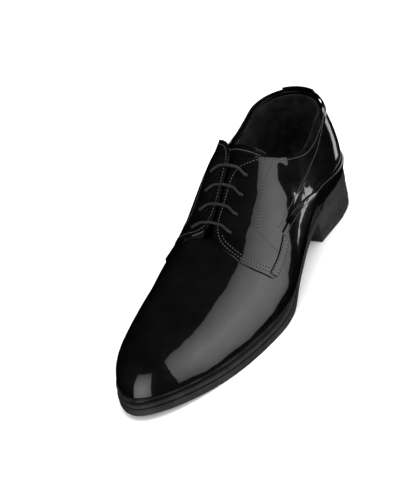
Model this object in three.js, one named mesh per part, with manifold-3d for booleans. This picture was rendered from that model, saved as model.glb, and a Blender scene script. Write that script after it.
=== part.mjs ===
// A man's plain-toe derby dress shoe for the left foot, free standing.
// Frame: +X to the toe, +Y to the outer (lateral) side, +Z up, origin on the ground under the middle.
// The upper is a stack of shells that all follow one last (the foot-shaped form inside the shoe).
// A place on the last is (run, girth): run is millimetres from the middle of the heel back, positive on
// the lateral side; girth goes from -1 at the sole, by 0 at the widest line, to 1 on the instep ridge.
import * as THREE from "three";
import { mergeVertices } from "three/addons/utils/BufferGeometryUtils.js";
import Module from "manifold-3d";

const wasm = await Module();
wasm.setup();

// ---------------------------------------------------------------- driving sizes, mm
const SHOE_LENGTH = 300; // outsole, heel back to toe tip
const SOLE_WIDTH = 100; // outsole across the ball
const INSTEP_HEIGHT = 94; // form above the sole at the heel, which sets all upper heights
const HEEL_HEIGHT = 21.8; // under the outsole at the heel seat
const WELT_THICKNESS = 3.4;
const TOP_PIECE_THICKNESS = 5.7;
const CLEARANCE = 0.3;
const LINING = 1.0;
const STIFFENER = 0.7;
const PUFF = 0.6;
const SHELL_CLEARANCE = 0.45; // between curved shells, which are faceted
const HEEL_CLEARANCE = 0.9; // the same where the wings turn round the heel
const PUFF_CLEARANCE = 0.7;
const LEATHER = 1.2;
const PANEL = 1.0;
const STAY = 0.8;
const EYELET_FLANGE = 0.4;
const LACE_DIAMETER = 2.4;
const HOLE_RADIUS = 2.1;
const EYELET_BORE_RADIUS = 1.9;
const EYELET_WALL = 0.3;
const FLANGE_WIDTH = 0.7;
const INSOLE_THICKNESS = 2.2;
const SOCK_THICKNESS = 1.0;
const NAIL_DIAMETER = 2.5;
const NAIL_LENGTH = 15;
const SHANK_WIDTH = 15;
const LACE_ROOM = 2.1; // over the lace's thickness, between the lining and the tongue
const TONGUE_DEPTH = LACE_DIAMETER + LACE_ROOM; // tongue's outer face below the lining's inner face
const TONGUE_ROOT_GAP = 0.8; // between the tongue and the vamp lining at its root
const AGLET_LENGTH = 20;

// ---------------------------------------------------------------- the last
const STATION_LENGTH = 300; // the profiles' stations are for this length
const long = SHOE_LENGTH / STATION_LENGTH;
const PROFILE_WIDTH = 100; // the profiles are for this width
const wide = SOLE_WIDTH / PROFILE_WIDTH;
const high = INSTEP_HEIGHT / 94;
const HEEL_STATION = 42; // in front of this the sections stand across the shoe
const HEEL_RUN = 55; // length of the heel's turn on each side
const BACK_REACH = 37.9; // from the heel station back to the heel's fullest point
const HEEL_ROUNDNESS = 2.15;
const TIP_STATION = 293;
const TIP_Y = -12;
const TIP_RUN = HEEL_RUN + TIP_STATION - HEEL_STATION;
const BALL = {
  lateral: { station: 164, along: 1.4, across: 1.84 },
  medial: { station: 213, along: 2.3, across: 2 },
};
const NOSE_STATION = 215; // from here the toe's height falls to the tip
const STRETCH_STATION = 200;

// A cubic spline with continuous curvature; an end is flat, or free where it says so.
function spline(knots, flatEnd) {
  const last = knots.length - 1;
  const step = (i) => knots[i + 1][0] - knots[i][0];
  const slope = (i) => (knots[i + 1][1] - knots[i][1]) / step(i);
  const upper = [];
  const value = [];
  for (let i = 0; i <= last; i++) {
    let before = i > 0 ? step(i - 1) : 0;
    const after = i < last ? step(i) : 0;
    let middle = 2 * (before + after);
    let right = 6 * ((i < last ? slope(i) : 0) - (i > 0 ? slope(i - 1) : 0));
    if (i === last && !flatEnd) {
      before = 0;
      middle = 1;
      right = 0;
    }
    const pivot = middle - before * (upper[i - 1] ?? 0);
    upper[i] = after / pivot;
    value[i] = (right - before * (value[i - 1] ?? 0)) / pivot;
  }
  const bend = value.slice();
  for (let i = last - 1; i >= 0; i--) bend[i] = value[i] - upper[i] * bend[i + 1];
  return (at) => {
    const x = Math.min(Math.max(at, knots[0][0]), knots[last][0]);
    let i = 0;
    while (i < last - 1 && x > knots[i + 1][0]) i++;
    const h = step(i);
    const a = (knots[i + 1][0] - x) / h;
    const b = 1 - a;
    const curved = (a ** 3 - a) * bend[i] + (b ** 3 - b) * bend[i + 1];
    return a * knots[i][1] + b * knots[i + 1][1] + (curved * h * h) / 6;
  };
}
const scaled = (knots, scale) => knots.map(([station, v]) => [station, v * scale]);
const halfWidth = {
  lateral: spline(scaled([[42, 30], [72, 29.3], [102, 34.5], [132, 41.5], [164, 46]], wide), true),
  medial: spline(
    scaled([[42, -34.5], [72, -34.2], [102, -33], [132, -36.5], [162, -41.5], [190, -45.8],
      [213, -44.3]], wide), true),
};
const FOREPART_LEVEL = 9.2; // sole's top at the ball
const seatLevel = spline([
  [42, FOREPART_LEVEL + HEEL_HEIGHT], [60, 9.2 + HEEL_HEIGHT * 0.975], [80, 9.2 + HEEL_HEIGHT * 0.875],
  [100, 9.2 + HEEL_HEIGHT * 0.69], [120, 9.2 + HEEL_HEIGHT * 0.48], [140, 9.2 + HEEL_HEIGHT * 0.28],
  [160, 10.8], [180, 9.2], [205, 9.0], [232, 9.2], [250, 10], [270, 11.8], [294, 14.2]], false);
const fullHeight = spline(scaled([[42, 104], [100, 93], [125, 83], [150, 73], [175, 62], [197, 51.5],
  [220, 44.5], [245, 38], [270, 35], [294, 34]], high), false);
const ridgeLine = spline([[42, -3], [125, -2], [160, -0.5], [200, -4], [294, -12]], false);
const widestLevel = spline([[42, 18], [100, 20], [150, 18], [200, 10], [294, 8]], false);
const tuck = {
  lateral: spline([[42, 2.5], [100, 4], [150, 4.5], [200, 2], [294, 1.5]], false),
  medial: spline([[42, 2.5], [100, 7], [150, 7], [200, 2.5], [294, 1.5]], false),
};
const crossPower = spline([[42, 1.5], [125, 1.95], [160, 1.85], [200, 2.05], [240, 2.05], [294, 2.2]], false);
const crownPower = spline([[42, 1.7], [125, 2], [160, 1.7], [200, 1.85], [240, 2], [294, 2.1]], false);
const HEEL_TUCK = 3;
const quarterTurn = Math.PI / 2;

function fall(share, along, across) {
  const left = 1 - Math.min(Math.max(share, 0), 1) ** along;
  return Math.max(left, 0) ** (1 / across);
}

// How a section's width and height go with girth, as shares, and its height above the sole.
function girthShares(station, girth, reach, tucked, crownHeight, widest) {
  const turn = Math.abs(girth) * quarterTurn;
  if (girth >= 0) {
    const up = widest + (crownHeight - widest) * Math.sin(turn) ** (2 / crownPower(station));
    return [Math.cos(turn) ** (2 / crossPower(station)), up];
  }
  const sweep = Math.acos(Math.min(Math.max(1 - tucked / Math.max(reach, 1e-6), 0), 0.999));
  const down = Math.sin(sweep * -girth) / Math.sin(sweep);
  return [Math.cos(sweep * -girth), widest * (1 - down)];
}

// The point at (run, girth), offset outwards from the last.
function onLast(run, girth, offset) {
  const side = run < 0 ? "medial" : "lateral";
  const out = run < 0 ? -1 : 1;
  const distance = Math.abs(run);
  if (distance < HEEL_RUN) return onHeel(distance / HEEL_RUN, out, girth, offset);
  let station = HEEL_STATION + distance - HEEL_RUN;
  const reachOut = TIP_STATION + offset / long;
  if (station > STRETCH_STATION) {
    const share = (station - STRETCH_STATION) / (TIP_STATION - STRETCH_STATION);
    station = STRETCH_STATION + share * (reachOut - STRETCH_STATION);
  }
  const ball = BALL[side];
  let width = halfWidth[side](Math.min(station, ball.station)) + out * offset;
  if (station > ball.station) {
    const share = (station - ball.station) / (reachOut - ball.station);
    width = TIP_Y + (width - TIP_Y) * fall(share, ball.along, ball.across);
  }
  const nose = fall((station - NOSE_STATION) / (reachOut - NOSE_STATION), 3, 2);
  const ridge = TIP_Y + (ridgeLine(station) - TIP_Y) * nose;
  const reach = width - ridge;
  const [across, up] = girthShares(station, girth, Math.abs(reach), tuck[side](station) * nose,
    (fullHeight(station) + offset) * nose, widestLevel(station) * nose);
  return new THREE.Vector3(station * long - SHOE_LENGTH / 2, ridge + reach * across, seatLevel(station) + up);
}

function onHeel(turnShare, out, girth, offset) {
  const side = out < 0 ? "medial" : "lateral";
  const angle = turnShare * quarterTurn;
  const ridge = ridgeLine(HEEL_STATION);
  const sideReach = Math.abs(halfWidth[side](HEEL_STATION) - ridge) + offset;
  const backReach = BACK_REACH * long + offset;
  const shares = (reach) => girthShares(HEEL_STATION, girth, reach, HEEL_TUCK,
    fullHeight(HEEL_STATION) + offset, widestLevel(HEEL_STATION));
  const [acrossSide, up] = shares(sideReach);
  const [acrossBack] = shares(backReach);
  const aside = Math.abs(Math.sin(angle)) / Math.max(sideReach * acrossSide, 1e-6);
  const behind = Math.abs(Math.cos(angle)) / Math.max(backReach * acrossBack, 1e-6);
  const radius = (aside ** HEEL_ROUNDNESS + behind ** HEEL_ROUNDNESS) ** (-1 / HEEL_ROUNDNESS);
  return new THREE.Vector3(HEEL_STATION * long - radius * Math.cos(angle) - SHOE_LENGTH / 2,
    ridge + out * radius * Math.sin(angle), seatLevel(HEEL_STATION) + up);
}

const runAt = (station) => HEEL_RUN + station - HEEL_STATION;
function ease(value, from, to) {
  const share = Math.min(Math.max((value - from) / (to - from), 0), 1);
  return share * share * (3 - 2 * share);
}
const mix = (a, b, share) => a + (b - a) * share;

// ---------------------------------------------------------------- solids
const group = new THREE.Group();
function material(color, roughness, metalness) {
  return new THREE.MeshStandardMaterial({ color, roughness, metalness });
}
const PATENT = material(0x0b0b0d, 0.08, 0);
const LINING_BLACK = material(0x1b1a1a, 0.85, 0);
const RUBBER = material(0x1d1d1f, 0.7, 0);
const FIBRE = material(0x6b5138, 0.9, 0);
const STEEL = material(0x8c8f94, 0.35, 1);
const LACE = material(0x242528, 0.65, 0);
const CORK = material(0x8a6a48, 0.9, 0);
const BLACK_METAL = material(0x1a1a1c, 0.4, 1);

// Shapes a box's grid with place(u, v, outer), and makes it a solid.
function mapped(columns, rows, place) {
  const box = new THREE.BoxGeometry(1, 1, 1, columns, rows, 1);
  const position = box.attributes.position;
  for (let i = 0; i < position.count; i++) {
    const outer = position.getZ(i) > 0;
    const p = place(position.getX(i) + 0.5, position.getY(i) + 0.5, outer);
    position.setXYZ(i, p.x, p.y, p.z);
  }
  return solid(box);
}
function solid(geometry) {
  const bare = geometry.index ? geometry.clone() : geometry;
  bare.deleteAttribute("normal");
  bare.deleteAttribute("uv");
  const merged = mergeVertices(bare, 1e-3);
  const p = merged.attributes.position;
  const corner = (k) => new THREE.Vector3().fromBufferAttribute(p, k);
  const index = merged.index.array;
  const kept = [];
  let volume = 0;
  for (let i = 0; i < index.length; i += 3) {
    const [a, b, c] = [index[i], index[i + 1], index[i + 2]];
    if (a === b || b === c || a === c) continue;
    kept.push(a, b, c);
    volume += corner(a).dot(corner(b).cross(corner(c)));
  }
  if (volume < 0) kept.reverse();
  return new wasm.Manifold(new wasm.Mesh({
    numProp: 3,
    vertProperties: new Float32Array(p.array),
    triVerts: new Uint32Array(kept),
  }));
}
function add(name, body, look) {
  const mesh = body.getMesh();
  const geometry = new THREE.BufferGeometry();
  geometry.setAttribute("position", new THREE.BufferAttribute(Float32Array.from(mesh.vertProperties), 3));
  geometry.setIndex(new THREE.BufferAttribute(Uint32Array.from(mesh.triVerts), 1));
  geometry.computeVertexNormals();
  const node = new THREE.Mesh(geometry, look);
  node.name = name;
  group.add(node);
}
// A curve on the last, through [run, girth] points.
const GIRTH_SCALE = 100;
function seam(points) {
  const places = points.map(([run, girth]) => new THREE.Vector2(run, girth * GIRTH_SCALE));
  const curve = new THREE.SplineCurve(places);
  curve.arcLengthDivisions = 400;
  return (share) => {
    const p = curve.getPointAt(share);
    return [p.x, p.y / GIRTH_SCALE];
  };
}
// A shell between two seams, and between two offsets that may change along the run.
function shell(columns, rows, low, top, inner, outer) {
  return mapped(columns, rows, (u, v, isOuter) => {
    const [lowRun, lowGirth] = low(u);
    const [topRun, topGirth] = top(u);
    const run = mix(lowRun, topRun, v);
    const offset = (isOuter ? outer : inner)(Math.abs(run));
    return onLast(run, mix(lowGirth, topGirth, v), offset);
  });
}
const constant = (value) => () => value;
const mirrored = (points, side) => points.map(([run, girth]) => [run * side, girth]);

// A shell over the toe: u goes along from start(girth) to the tip, v across from side to side.
const CROWN_SHARE = 0.75;
function toeShell(columns, rows, start, end, inner, outer) {
  return mapped(columns, rows, (u, v, isOuter) => {
    const across = v * 2 - 1;
    const part = Math.abs(across);
    const girth = part < CROWN_SHARE ? 1 - part / CROWN_SHARE : -(part - CROWN_SHARE) / (1 - CROWN_SHARE);
    const from = start(girth);
    const run = mix(from, end, mix(u, Math.sin(u * quarterTurn), ease(u, 0.45, 1)));
    const offset = (isOuter ? outer : inner)(run);
    return onLast(across < 0 ? -run : run, girth, offset);
  });
}

// ---------------------------------------------------------------- seams and layers of the upper
const COLLAR = [[12, 0.37], [45, 0.35], [61, 0.31], [75, 0.28], [89, 0.29], [104, 0.365], [117, 0.48],
  [129, 0.67]];
const FACING_EDGE = [[137, 0.83], [143, 0.92], [151, 0.96], [168, 0.965], [182, 0.96]];
const FACING_FRONT_TOP = [[191, 0.915], [197, 0.83]];
const QUARTER_SEAM = [[16, 0.335], [45, 0.3], [60, 0.245], [75, 0.185], [91, 0.16], [104, 0.165],
  [123, 0.215], [149, 0.325], [160, 0.37]];
const QUARTER_FRONT_LOW = [[172, 0.352], [189, 0.35], [198, 0.4], [200, 0.54]];
const WING_TOP = [[-0.5, 22], [-0.4, 45], [-0.28, 60], [-0.06, 81], [0.03, 97], [0.11, 116], [0.205, 136],
  [0.29, 153], [0.345, 165], [0.46, 193]];
const THROAT_RUN = 193;
const WING_END_RUN = 22;

const COUNTER_IN = LINING + SHELL_CLEARANCE;
const PANEL_LOW = LINING + SHELL_CLEARANCE;
const PANEL_HIGH = COUNTER_IN + STIFFENER + SHELL_CLEARANCE * 1.7;
const panelDrop = (run) => ease(run, 98, 135);
const panelInner = (run) => mix(PANEL_HIGH, PANEL_LOW, panelDrop(Math.abs(run)));
const panelOuter = (run) => panelInner(run) + PANEL;
const vampInner = (run) => panelOuter(run) + mix(HEEL_CLEARANCE, SHELL_CLEARANCE * 1.2, ease(run, 70, 125));
const vampOuter = (run) => vampInner(run) + LEATHER;
const FACING_IN = PANEL_LOW + PANEL + SHELL_CLEARANCE + LEATHER + SHELL_CLEARANCE * 1.4;
const facingRise = (run) => ease(run, 116, 138);
const quarterInner = (run) => mix(vampInner(run), FACING_IN, facingRise(run));
const quarterOuter = (run) => quarterInner(run) + LEATHER;
const FLANGE_GAP = 0.72;
const STAY_IN = FACING_IN - FLANGE_GAP * 2 - EYELET_FLANGE - STAY;
const puffInner = LINING + PUFF_CLEARANCE;

// ---------------------------------------------------------------- laces and eyelets: places
const EYELET_RUNS = [184, 171, 158, 145];
const EYELET_GIRTH = 0.78;
const sides = [["lateral", 1], ["medial", -1]];
// Axes at an eyelet: out of the shoe, towards the ridge, and along to the toe.
function eyeletFrame(side, index) {
  const run = EYELET_RUNS[index] * side;
  const level = FACING_IN / 2;
  const middle = onLast(run, EYELET_GIRTH, level);
  const ahead = onLast(run + side, EYELET_GIRTH, level);
  const along = ahead.sub(onLast(run - side, EYELET_GIRTH, level)).normalize();
  const upward = onLast(run, EYELET_GIRTH + 0.02, level).sub(onLast(run, EYELET_GIRTH - 0.02, level));
  const inward = upward.addScaledVector(along, -upward.dot(along)).normalize();
  const out = new THREE.Vector3().crossVectors(along, inward).multiplyScalar(-side);
  return { base: middle.addScaledVector(out, -level), out, inward, along };
}
function rodAlong(frame, radius, from, to, sidesCount) {
  const rod = new THREE.CylinderGeometry(radius, radius, to - from, sidesCount);
  rod.rotateX(quarterTurn);
  const middle = frame.base.clone().addScaledVector(frame.out, (from + to) / 2);
  const basis = new THREE.Matrix4().makeBasis(frame.along, frame.inward, frame.out);
  if (basis.determinant() < 0) basis.makeBasis(frame.inward, frame.along, frame.out);
  rod.applyMatrix4(basis.setPosition(middle));
  return solid(rod);
}
const holes = (side, radius, from, to) =>
  EYELET_RUNS.map((_, index) => rodAlong(eyeletFrame(side, index), radius, from, to, 8));
const drilled = (body, tools) => tools.reduce((left, tool) => left.subtract(tool), body);

// ---------------------------------------------------------------- the sole unit
// A plate whose edge follows the last's foot at an overhang; top and bottom go by station.
function plate(columns, overhang, top, bottom, fromRun, toRun) {
  return mapped(columns, 2, (u, v, isTop) => {
    const run = mix(fromRun, toRun, Math.sin(u * quarterTurn));
    const edge = (side) => onLast(run * side, -1, overhang(run, side));
    const [lateral, medial] = [edge(1), edge(-1)];
    const p = medial.lerp(lateral, v);
    p.z = (isTop ? top : bottom)(p.x / long + STATION_LENGTH / 2);
    return p;
  });
}
const TOE_OVERHANG = 7;
function soleOverhang(run, side) {
  const heel = vampOuter(0) + CLEARANCE;
  const waist = side > 0 ? 2.6 : 2.2;
  const forepart = side > 0 ? 8 : 7.35;
  if (run < 140) return mix(heel, waist, ease(run, 70, 125));
  if (run < 230) return mix(waist, forepart, ease(run, 145, 200));
  return mix(forepart, TOE_OVERHANG, ease(run, 230, 300));
}
const groundLift = (station) => Math.max(seatLevel(station) - FOREPART_LEVEL, 0);
const WELT_START = 72;
const underWelt = (station) => seatLevel(station) - CLEARANCE * 2 - WELT_THICKNESS;
const seatTop = (station) => seatLevel(station) - CLEARANCE;
function outsoleTop(station) {
  return mix(seatTop(station), underWelt(station), ease(station, WELT_START - 8, WELT_START - 3));
}
const block = (station, at) => new THREE.BoxGeometry(400, 300, 200).translate(
  (station - STATION_LENGTH / 2) * long + at * 200, 0, 0);

const nailPlaces = [[16, 0], [26, 17], [26, -17], [52, 19], [52, -19]];
function nailRod(place, radius, from, to) {
  const rod = new THREE.CylinderGeometry(radius, radius, to - from, 8).rotateX(quarterTurn);
  rod.translate(place[0] * long - SHOE_LENGTH / 2, place[1], (from + to) / 2);
  return solid(rod);
}
const NAIL_TOP = FOREPART_LEVEL + HEEL_HEIGHT - CLEARANCE - 1;
const nailHoles = nailPlaces.map((place) =>
  nailRod(place, NAIL_DIAMETER / 2 + CLEARANCE, NAIL_TOP - NAIL_LENGTH - CLEARANCE, NAIL_TOP + 10));

add("outsole", drilled(plate(28, soleOverhang, outsoleTop, groundLift, 0, TIP_RUN), nailHoles), RUBBER);

const BREAST_STATION = 78;
const breastRun = runAt(BREAST_STATION);
const blockBottom = TOP_PIECE_THICKNESS + CLEARANCE;
const heelBlock = plate(14, (run, side) => soleOverhang(run, side) - 0.4,
  (station) => groundLift(station) - CLEARANCE, constant(blockBottom), 0, breastRun);
add("heel_block", drilled(heelBlock, nailHoles), RUBBER);

const CHEVRON_CENTRE = 46;
const CHEVRON_SIDE = 58;
const CHEVRON_FLAT = 9;
function chevron(gap) {
  const shape = new THREE.Shape();
  const front = (station) => (station - STATION_LENGTH / 2) * long + gap;
  shape.moveTo(-SHOE_LENGTH, -60 * wide);
  shape.lineTo(front(CHEVRON_SIDE), -60 * wide);
  shape.lineTo(front(CHEVRON_SIDE), -34 * wide);
  shape.lineTo(front(CHEVRON_CENTRE), -CHEVRON_FLAT);
  shape.lineTo(front(CHEVRON_CENTRE), CHEVRON_FLAT);
  shape.lineTo(front(CHEVRON_SIDE), 34 * wide);
  shape.lineTo(front(CHEVRON_SIDE), 60 * wide);
  shape.lineTo(-SHOE_LENGTH, 60 * wide);
  return solid(new THREE.ExtrudeGeometry(shape, { depth: 60, bevelEnabled: false }).translate(0, 0, -20));
}
const heelFoot = plate(14, (run, side) => soleOverhang(run, side) - 0.8, constant(TOP_PIECE_THICKNESS),
  constant(0), 0, breastRun);
add("heel_top_piece", heelFoot.intersect(chevron(0)), RUBBER);
add("heel_front_pad", heelFoot.subtract(chevron(CLEARANCE)), RUBBER);

const weltTop = (station) => seatLevel(station) - CLEARANCE;
const weltBottom = (station) => underWelt(station) + CLEARANCE;
const WELT_INSIDE = -9;
const weltRing = plate(28, (run, side) => soleOverhang(run, side) - 0.5, weltTop, weltBottom, 0, TIP_RUN)
  .subtract(plate(20, constant(WELT_INSIDE), (s) => weltTop(s) + 9, (s) => weltBottom(s) - 9, 0, TIP_RUN))
  .subtract(solid(block(WELT_START, -1)));
add("welt", weltRing, RUBBER);

const boardBottom = (station) => seatLevel(station) + CLEARANCE;
const boardTop = (station) => boardBottom(station) + INSOLE_THICKNESS;
add("insole_board", plate(22, constant(-0.8), boardTop, boardBottom, 0, TIP_RUN), FIBRE);
add("sock_lining", plate(22, constant(-1), (s) => boardTop(s) + CLEARANCE + SOCK_THICKNESS,
  (s) => boardTop(s) + CLEARANCE, 0, TIP_RUN), LINING_BLACK);

const cavityFloor = (station) => underWelt(station) + CLEARANCE;
const SHANK_THICKNESS = 1.4;
const shankEnds = [WELT_START + 4, 160];
const shank = mapped(10, 1, (u, v, isTop) => {
  const station = mix(shankEnds[0], shankEnds[1], u);
  const level = cavityFloor(station) + (isTop ? SHANK_THICKNESS : 0);
  return new THREE.Vector3(station * long - SHOE_LENGTH / 2, (v - 0.5) * SHANK_WIDTH, level);
});
add("shank", shank, STEEL);
add("bottom_filler", plate(20, constant(WELT_INSIDE - 0.8), seatLevel, cavityFloor, 0, TIP_RUN)
  .subtract(solid(block(shankEnds[1] + 1, -1))), CORK);
nailPlaces.forEach((place, i) =>
  add(`heel_nail_${i + 1}`, nailRod(place, NAIL_DIAMETER / 2, NAIL_TOP - NAIL_LENGTH, NAIL_TOP), STEEL));

// ---------------------------------------------------------------- inner layers of the upper
const LINING_SPLIT = 57;
const VAMP_LINING_START = 196;
add("heel_grip_lining", shell(16, 8,
  (u) => [mix(-LINING_SPLIT, LINING_SPLIT, u) * 0.99, -1],
  (u) => [mix(-LINING_SPLIT, LINING_SPLIT, u) * 0.99, 0.372 - 0.02 * Math.abs(2 * u - 1)],
  constant(0), constant(LINING)), LINING_BLACK);
add("heel_counter", shell(26, 6,
  (u) => [mix(-94, 94, u), -0.96],
  (u) => [mix(-94, 94, u), 0.2 - 0.25 * Math.abs(2 * u - 1) ** 2],
  constant(COUNTER_IN), constant(COUNTER_IN + STIFFENER)), FIBRE);
add("vamp_lining", toeShell(13, 24, constant(VAMP_LINING_START), TIP_RUN, constant(0), constant(LINING)),
  LINING_BLACK);
add("toe_puff", toeShell(9, 24, constant(runAt(246)), TIP_RUN, constant(puffInner),
  constant(puffInner + PUFF)), FIBRE);

const LINING_TOP = [[58, 0.315], [75, 0.27], [89, 0.28], [104, 0.355], [117, 0.465], [129, 0.64],
  [138, 0.8], [146, 0.88], [155, 0.9], [175, 0.91], [195, 0.92]];
for (const [side, sign] of sides) {
  const lining = shell(14, 8,
    (u) => [sign * mix(58, 195, u), -1],
    seam(mirrored(LINING_TOP, sign)), constant(0), constant(LINING));
  const bores = holes(sign, EYELET_BORE_RADIUS + EYELET_WALL + CLEARANCE, -3, 3);
  add(`${side}_quarter_lining`, drilled(lining, bores), LINING_BLACK);
}

// ---------------------------------------------------------------- outer leather
const wingTopRun = spline(WING_TOP, false);
const WASTE = 30; // the sheet runs this far past the wing's top edge before it is trimmed
function vampStart(girth) {
  if (girth > 0.5) return THROAT_RUN;
  return Math.max(wingTopRun(Math.max(girth, -0.5)) - WASTE, WING_END_RUN);
}
const trimmers = sides.map(([, sign]) => shell(30, 4,
  seam(mirrored(WING_TOP.map(([girth, run]) => [run, girth]), sign)),
  seam(mirrored([[12, 0.3], [100, 0.6], [THROAT_RUN, 0.8]], sign)), constant(-8), constant(9)));
add("vamp", drilled(toeShell(34, 32, vampStart, TIP_RUN, vampInner, vampOuter), trimmers), PATENT);

const PANEL_FOOT = [[162, 0.25], [136, 0.1], [116, 0.01], [97, -0.08], [81, -0.2], [60, -0.45], [42, -0.8],
  [32, -0.98], [12, -0.98]];
const PANEL_TOP = [[162, 0.45], [149, 0.4], [123, 0.3], [103, 0.255], [89, 0.25], [75, 0.265], [45, 0.335],
  [12, 0.365]];
const bothSides = (half) => half.concat(mirrored(half, -1).reverse());
add("back_panel", shell(48, 8, seam(bothSides(PANEL_FOOT)), seam(bothSides(PANEL_TOP)), panelInner,
  panelOuter), PATENT);

for (const [side, sign] of sides) {
  const low = seam(mirrored(QUARTER_SEAM.concat(QUARTER_FRONT_LOW), sign));
  const top = seam(mirrored(COLLAR.concat(FACING_EDGE, FACING_FRONT_TOP)
    .map(([run, girth], i) => (i === 0 ? [16, girth + 0.01] : [run, girth])), sign));
  const quarter = shell(27, 7, low, top, quarterInner, quarterOuter);
  add(`${side}_quarter`, drilled(quarter, holes(sign, HOLE_RADIUS, STAY_IN + STAY, FACING_IN + LEATHER + 3)),
    PATENT);
  const stay = shell(12, 3,
    seam(mirrored([[136, 0.66], [157, 0.665], [190, 0.67]], sign)),
    seam(mirrored([[141, 0.88], [157, 0.92], [190, 0.93]], sign)),
    constant(STAY_IN), constant(STAY_IN + STAY));
  const stayBores = holes(sign, EYELET_BORE_RADIUS + EYELET_WALL + CLEARANCE, 0, 5);
  add(`${side}_eyelet_stay`, drilled(stay, stayBores), FIBRE);
  const tab = shell(8, 2,
    seam(mirrored([[160, 0.262], [175, 0.256], [189, 0.256]], sign)),
    seam(mirrored([[163, 0.327], [175, 0.327], [192, 0.327]], sign)),
    (run) => quarterInner(Math.max(run, 163)), (run) => quarterOuter(Math.max(run, 163)));
  add(`${side}_side_tab`, tab, PATENT);
}

// ---------------------------------------------------------------- eyelets
const FLANGE_LOW = STAY_IN + STAY + FLANGE_GAP;
const EYELET_FOOT = -0.1;
for (const [side, sign] of sides) {
  EYELET_RUNS.forEach((_, index) => {
    const bore = EYELET_BORE_RADIUS;
    const wall = bore + EYELET_WALL;
    const rim = wall + FLANGE_WIDTH;
    const flangeTop = FLANGE_LOW + EYELET_FLANGE;
    const profile = [[bore, EYELET_FOOT], [wall, EYELET_FOOT], [wall, FLANGE_LOW], [rim, FLANGE_LOW],
      [rim, flangeTop], [bore, flangeTop], [bore, EYELET_FOOT]];
    const ring = new THREE.LatheGeometry(profile.map(([r, h]) => new THREE.Vector2(r, h)), 8);
    const frame = eyeletFrame(sign, index);
    ring.rotateX(quarterTurn);
    const basis = new THREE.Matrix4().makeBasis(frame.along, frame.inward, frame.out);
    if (basis.determinant() < 0) basis.makeBasis(frame.inward, frame.along, frame.out);
    ring.applyMatrix4(basis.setPosition(frame.base));
    add(`${side}_eyelet_${index + 1}`, solid(ring), BLACK_METAL);
  });
}

// ---------------------------------------------------------------- tongue
const TONGUE_TOP_STATION = 112;
const TONGUE_ROOT_STATION = 191;
const TONGUE_GIRTH = 0.58;
function tongueShell(outer, thickness, rootStation) {
  const raised = -TONGUE_ROOT_GAP - (outer - TONGUE_DEPTH);
  const ramp = (run) => mix(-outer, raised, ease(run, runAt(176), runAt(184)));
  return mapped(9, 8, (u, v, isOuter) => {
    const across = v * 2 - 1;
    const run = runAt(mix(TONGUE_TOP_STATION, rootStation, u));
    const offset = ramp(run) - (isOuter ? 0 : thickness);
    return onLast(across < 0 ? -run : run, 1 - (1 - TONGUE_GIRTH) * Math.abs(across), offset);
  });
}
const TONGUE_THICKNESS = 1.3;
add("tongue", tongueShell(TONGUE_DEPTH, TONGUE_THICKNESS, TONGUE_ROOT_STATION), PATENT);
add("tongue_lining", tongueShell(TONGUE_DEPTH + TONGUE_THICKNESS + CLEARANCE, 0.8, TONGUE_ROOT_STATION),
  LINING_BLACK);

// ---------------------------------------------------------------- the lace
const BAR_LEVEL = FACING_IN + LEATHER + LACE_DIAMETER / 2 + 0.5;
const UNDER_LEVEL = -LACE_DIAMETER / 2 - 1;
class LacePath extends THREE.CatmullRomCurve3 {
  getUtoTmapping(share) {
    return share;
  }
}
const route = [];
const put = (frame, inward, along, out) => route.push(frame.base.clone()
  .addScaledVector(frame.inward, inward).addScaledVector(frame.along, along).addScaledVector(frame.out, out));
function over(index, fromSide) {
  const run = EYELET_RUNS[index];
  for (const girth of [0.9, 0.97]) route.push(onLast(run * fromSide, girth, BAR_LEVEL + 0.2));
  route.push(onLast(run * fromSide, 1, BAR_LEVEL + 0.3));
  for (const girth of [0.97, 0.9]) route.push(onLast(-run * fromSide, girth, BAR_LEVEL + 0.2));
}
function down(frame, heading) {
  put(frame, 2.3, 0, BAR_LEVEL);
  put(frame, 0.9, 0, BAR_LEVEL - 0.7);
  put(frame, 0.1, 0, BAR_LEVEL - 2.2);
  put(frame, 0, 0, 1.4);
  put(frame, 0, 0.5 * heading, UNDER_LEVEL + 1.1);
  put(frame, 0, 1.7 * heading, UNDER_LEVEL + 0.15);
}
function up(frame, heading) {
  const start = route.length;
  down(frame, heading);
  route.push(...route.splice(start).reverse());
}
const [L, M] = sides.map(([, sign]) => EYELET_RUNS.map((_, index) => eyeletFrame(sign, index)));
const under = (run, girth, deeper = 0) => route.push(onLast(run, girth, UNDER_LEVEL - deeper));
// the end tucked away from the third lateral eyelet
const firstTail = [[193, 0.33, 2.5], [187, 0.36, 2], [179, 0.44, 1], [171, 0.56, 0.5], [165, 0.68, 0]];
for (const [run, girth, deeper] of firstTail) {
  under(run, girth, deeper);
}
up(L[2], 1);
over(2, 1);
down(M[2], 1);
under(-165, 0.73);
under(-171, 0.69);
under(-178, 0.73);
up(M[0], -1);
over(0, -1);
down(L[0], -1);
under(177.5, 0.78);
up(L[1], 1);
over(1, 1);
down(M[1], -1);
under(-165, 0.81);
under(-158, 0.85);
under(-151, 0.82);
up(M[3], 1);
over(3, -1);
down(L[3], 1);
const lastTail = [[150, 0.66, 0], [157, 0.54, 0.5], [165, 0.44, 1], [175, 0.34, 2], [183, 0.27, 2.5]];
for (const [run, girth, deeper] of lastTail) {
  under(run, girth, deeper);
}
const lacePath = new LacePath(route, false, "centripetal");
const laceSection = new THREE.Shape();
for (let i = 0; i < 8; i++) {
  const angle = (i * Math.PI) / 4;
  const [x, y] = [Math.cos(angle) * LACE_DIAMETER / 2, Math.sin(angle) * LACE_DIAMETER / 2];
  if (i === 0) laceSection.moveTo(x, y);
  else laceSection.lineTo(x, y);
}
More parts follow.
